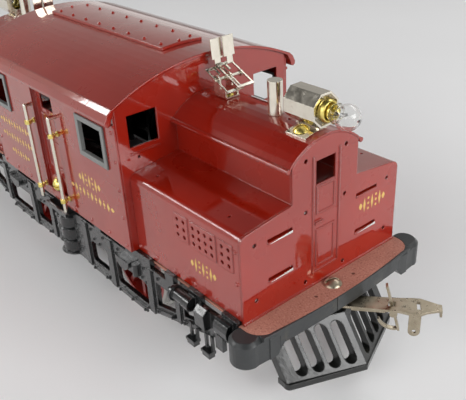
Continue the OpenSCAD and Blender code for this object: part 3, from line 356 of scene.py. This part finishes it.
def leaf(cx, cy, w, h):
    steps = 8
    lower = [(cx - w / 2 + w * i / steps, cy - h / 2 * math.sin(math.pi * i / steps))
             for i in range(steps + 1)]
    upper = [(x, 2 * cy - y) for x, y in reversed(lower[1:-1])]
    return lower + upper


def ornament_row(width, height, count):
    """A band of lozenges between dots, closed by a leaf at each end."""
    shapes = []
    pitch = width / count
    for i in range(count):
        cx = -width / 2 + (i + 0.5) * pitch
        if i in (0, count - 1):
            shapes.append(leaf(cx, 0, pitch * 0.85, height * 0.45))
            continue
        if i % 2:
            shapes.append(lozenge(cx, 0, pitch * 0.62, height))
        else:
            shapes.append(dot(cx, 0, min(height, pitch) * 0.26))
            shapes.append(dot(cx, height * 0.36, height * 0.09))
            shapes.append(dot(cx, -height * 0.36, height * 0.09))
    return shapes


SIDE_PLANE = Matrix(((1, 0, 0, 0), (0, 0, -1, 0), (0, 1, 0, 0), (0, 0, 0, 1)))
FRONT_PLANE = Matrix(((0, 0, 1, 0), (1, 0, 0, 0), (0, 1, 0, 0), (0, 0, 0, 1)))


def on_side(x, y, z):
    return Matrix.Translation((x * MM, y * MM, z * MM)) @ SIDE_PLANE


def on_front(x, y, z):
    return Matrix.Translation((x * MM, y * MM, z * MM)) @ FRONT_PLANE


for end in ENDS:
    rows = [("hood_mark", on_side(100.6, -38.77, 51.2), 14.5, 5.8, 7),
            ("cab_mark_1", on_side(32.2, -42.42, 61.4), 17.5, 6.4, 7),
            ("cab_mark_2", on_side(32.4, -42.42, 54.8), 35, 4.2, 11),
            ("cab_mark_3", on_side(-35.5, -42.42, 66.2), 32, 4.0, 11),
            ("cab_mark_4", on_side(-35.5, -42.42, 59.0), 32, 4.0, 11),
            ("cab_mark_5", on_side(-35.5, -42.42, 51.4), 19, 4.0, 7),
            ("front_mark", on_front(121.02, 24.9, 61), 14.8, 6, 7)]
    for name, where, width, height, count in rows:
        marks = flat_shapes(name, ornament_row(width, height, count), turn(where, end))
        piece(f"{name}_{end}", marks, GOLD, smooth=False)

# bright strips on three of the lamp-slot lips: painted light standing in for the lit floor seen through
# the slots
for end in ENDS:
    lips = []
    for y, z in ((-27.0, 50.5), (-27.0, 65.6), (16.0, 50.5)):
        lips.append([(y + 0.5, z), (y + 11, z), (y + 11, z + 0.95), (y + 3, z + 0.3)])
    where = turn(Matrix.Translation((0.12132, 0, 0)) @ FRONT_PLANE, end)
    edges = flat_shapes("slot_lips", lips, where)
    piece(f"slot_lips_{end}", edges, SLOT_LIGHT_LOOK, smooth=False)

# lamp bulb: hollow glass, filament and threaded shell, along the lamp's axis
GLOBE_X = 8.9
GLOBE_R = 4.4
GLOBE_SWEEP = 148
GLASS_WALL = 0.3
ON_AXIS = 0.0001
SHELL_R = 3.05
THREAD_PITCH = 1.8
for end in ENDS:
    axis = turn(Matrix.Translation((0.1204, 0, 0.1038)), end)
    outer = [(2.2, 2.45), (3.2, 2.7), (4.6, 3.5)]
    for i in range(15):
        t = math.radians(GLOBE_SWEEP - i * GLOBE_SWEEP / 14)
        outer.append((GLOBE_X + GLOBE_R * math.cos(t), max(ON_AXIS, GLOBE_R * math.sin(t))))
    inner = [(x - (GLASS_WALL if x > 10 else 0), max(ON_AXIS, r - GLASS_WALL)) for x, r in reversed(outer)]
    globe = lathe("bulb_glass", outer + inner, 40, axis)
    glass = piece(f"bulb_glass_{end}", globe, GLASS)
    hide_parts(f"bulb_{end}")
    thread = [(-10.5, SHELL_R)]
    for i in range(39):
        x = -10.2 + i * 0.25
        thread.append((x, SHELL_R + 0.13 * math.sin(x * 2 * math.pi / THREAD_PITCH)))
    thread += [(-0.6, 3.1), (-0.5, 3.6), (0.3, 3.85), (1.2, 3.85), (2.1, 3.5), (2.15, 3.2)]
    thread += [(1.6, 2.8), (-10.4, 2.7)]
    shell = piece(f"socket_shell_{end}", lathe("socket_shell", thread, 48, axis), BRASS)
    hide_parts(f"lamp_socket_{end}")
    base = [(-6, 2.4), (-1, 2.5), (-0.2, 2.65), (0.6, 2.5), (1.4, 2.65), (2.4, 2.6), (3.3, 2.95)]
    base += [(3.5, 2.85), (3.2, 2.3), (-6, 2.2)]
    piece(f"bulb_base_{end}", lathe("bulb_base", base, 40, axis), BRASS)
    stem = [(-6, 0.0001), (-6, 1.3), (2.5, 1.2), (4.2, 0.8), (5.2, 0.4), (5.4, 0.0001)]
    piece(f"bulb_stem_{end}", lathe("bulb_stem", stem, 24, axis), GLASS)
    wire = bpy.data.curves.new("filament", "CURVE")
    wire.dimensions = "3D"
    wire.bevel_depth = 0.00012
    line = wire.splines.new("POLY")
    path = [(4.6, -0.6, 0), (7.2, -1.9, 0)]
    path += [(7.4 + 0.5 * math.sin(i * 1.3), -1.8 + 3.6 * i / 24, 0.4 * math.cos(i * 1.3))
             for i in range(25)]
    path += [(7.2, 1.9, 0), (4.6, 0.6, 0)]
    line.points.add(len(path) - 1)
    for point, co in zip(line.points, path):
        point.co = (*(axis @ Vector([c * MM for c in co])), 1)
    filament = bpy.data.objects.new(f"filament_{end}", wire)
    bpy.context.scene.collection.objects.link(filament)
    wire.materials.append(STEEL)
    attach(filament, BODY)


# ---------- a dark block shaped like a reversing switch in each cab: painted shade that keeps the cab windows dark ---

def box(x0, x1, y0, y1):
    return [(x0, y0), (x1, y0), (x1, y1), (x0, y1)]


# near-black metal standing in for the shaded cab interior: painted shade
CAB_SHADE_LOOK = metal("cab_painted_shade_look", (0.02, 0.02, 0.021), (0.05, 0.045, 0.04), 0.35)


def plates(name, shapes, z, thick, end):
    """Upright blocks of one height, their feet at z."""
    where = turn(Matrix.Translation((0, 0, z)), end)
    piece(f"reverser_{name}_{end}", flat_shapes(name, shapes, where, thick=thick), CAB_SHADE_LOOK, smooth=False)


for end in ENDS:
    plates("legs", [box(-16, -12, -34, -30), box(8, 12, -34, -30)], 0.0387, 5.3, end)
    shelf = [box(-50, 50, -36, -28), box(-50, 50, -22, -15.5)]
    shelf += [box(-50, -20, -28, -22), box(-13, 24, -28, -22)]
    plates("shelf", shelf, 0.044, 1.5, end)
    cheeks = [box(-47, -22, -34, 12), box(-19, -17, -35, -15.5)]
    cheeks += [box(12, 14, -35, -15.5), box(30, 48, -34, -16)]
    plates("cheeks", cheeks, 0.0455, 18, end)
    where = turn(Matrix.Translation((0, -0.025, 0.0548)), end)
    drum = [(-17.5, 0), (-17.5, 9), (-15.5, 9), (-15.5, 7.4), (-4, 7.4), (-4, 8.4), (-2, 8.4), (-2, 7.4),
            (10.5, 7.4), (10.5, 9), (12.5, 9), (12.5, 0)]
    piece(f"reverser_drum_{end}", lathe("drum", drum, 40, where), CAB_SHADE_LOOK, smooth=False)


# ---------- stage ----------

def floor_paint():
    p = Paint("floor_look")
    tone = p.mix(p.ramp(p.noise(3, 3), 0.3, 0.7), (0.84, 0.84, 0.845), (0.88, 0.88, 0.885))
    p.colour(tone)
    p.set(Roughness=0.6, Specular_IOR_Level=0.2)
    p.bump(p.noise(300, 3), 0.03, 0.0003)
    return p.mat


floor_mesh = bpy.data.meshes.new("floor")
bm = bmesh.new()
bmesh.ops.create_grid(bm, x_segments=2, y_segments=2, size=3.0)
bm.to_mesh(floor_mesh)
bm.free()
floor_mesh.materials.append(floor_paint())
floor = bpy.data.objects.new("floor", floor_mesh)
bpy.context.scene.collection.objects.link(floor)

world = bpy.data.worlds.new("studio")
world.use_nodes = True
sky = world.node_tree
sky_place = sky.nodes.new("ShaderNodeTexCoord")
sky_split = sky.nodes.new("ShaderNodeSeparateXYZ")
sky_ramp = sky.nodes.new("ShaderNodeValToRGB")
sky.links.new(sky_place.outputs["Generated"], sky_split.inputs[0])
sky.links.new(sky_split.outputs[2], sky_ramp.inputs[0])
stops = sky_ramp.color_ramp.elements
stops[0].position = 0.0
stops[0].color = (1.2, 1.19, 1.17, 1)
stops[1].position = 0.75
stops[1].color = (0.07, 0.07, 0.07, 1)
middle = stops.new(0.35)
middle.color = (0.55, 0.54, 0.53, 1)
sky.links.new(sky_ramp.outputs[0], sky.nodes["Background"].inputs["Color"])
sky.nodes["Background"].inputs["Strength"].default_value = 0.7
bpy.context.scene.world = world


def softbox(name, place, target, size, watts):
    light = bpy.data.lights.new(name, "AREA")
    light.shape = "RECTANGLE"
    light.size, light.size_y = size
    light.energy = watts
    made = bpy.data.objects.new(name, light)
    made.location = place
    made.rotation_euler = (Vector(target) - Vector(place)).to_track_quat("-Z", "Y").to_euler()
    bpy.context.scene.collection.objects.link(made)


softbox("key_left", (-0.9, -0.75, 0.74), (0.05, 0, 0.05), (0.8, 0.2), 5)
softbox("key_back", (0.1, 0.9, 0.9), (0.05, 0, 0.05), (0.9, 0.4), 4)
softbox("fill_left", (0.25, -1.2, 0.6), (0.05, 0, 0.05), (1.2, 0.6), 9)
softbox("fill_front", (1.3, 0.2, 0.55), (0.1, 0, 0.05), (0.9, 0.6), 14)

FOCAL_PIXELS = 679.588
IMAGE_WIDTH = 466
SENSOR_MM = 36
cam_data = bpy.data.cameras.new("photo_camera")
cam_data.sensor_width = SENSOR_MM
cam_data.lens = FOCAL_PIXELS / IMAGE_WIDTH * SENSOR_MM
camera = bpy.data.objects.new("photo_camera", cam_data)
right = Vector((0.64636, 0.761417, -0.049627))
down = Vector((0.345395, -0.349957, -0.870766))
ahead = Vector((-0.680383, 0.545687, -0.489188))
facing = Matrix((right, -down, -ahead)).transposed().to_4x4()
camera.matrix_world = Matrix.Translation((0.257644, -0.149928, 0.185776)) @ facing
bpy.context.scene.collection.objects.link(camera)
bpy.context.scene.camera = camera
bpy.context.scene.view_settings.view_transform = "Standard"
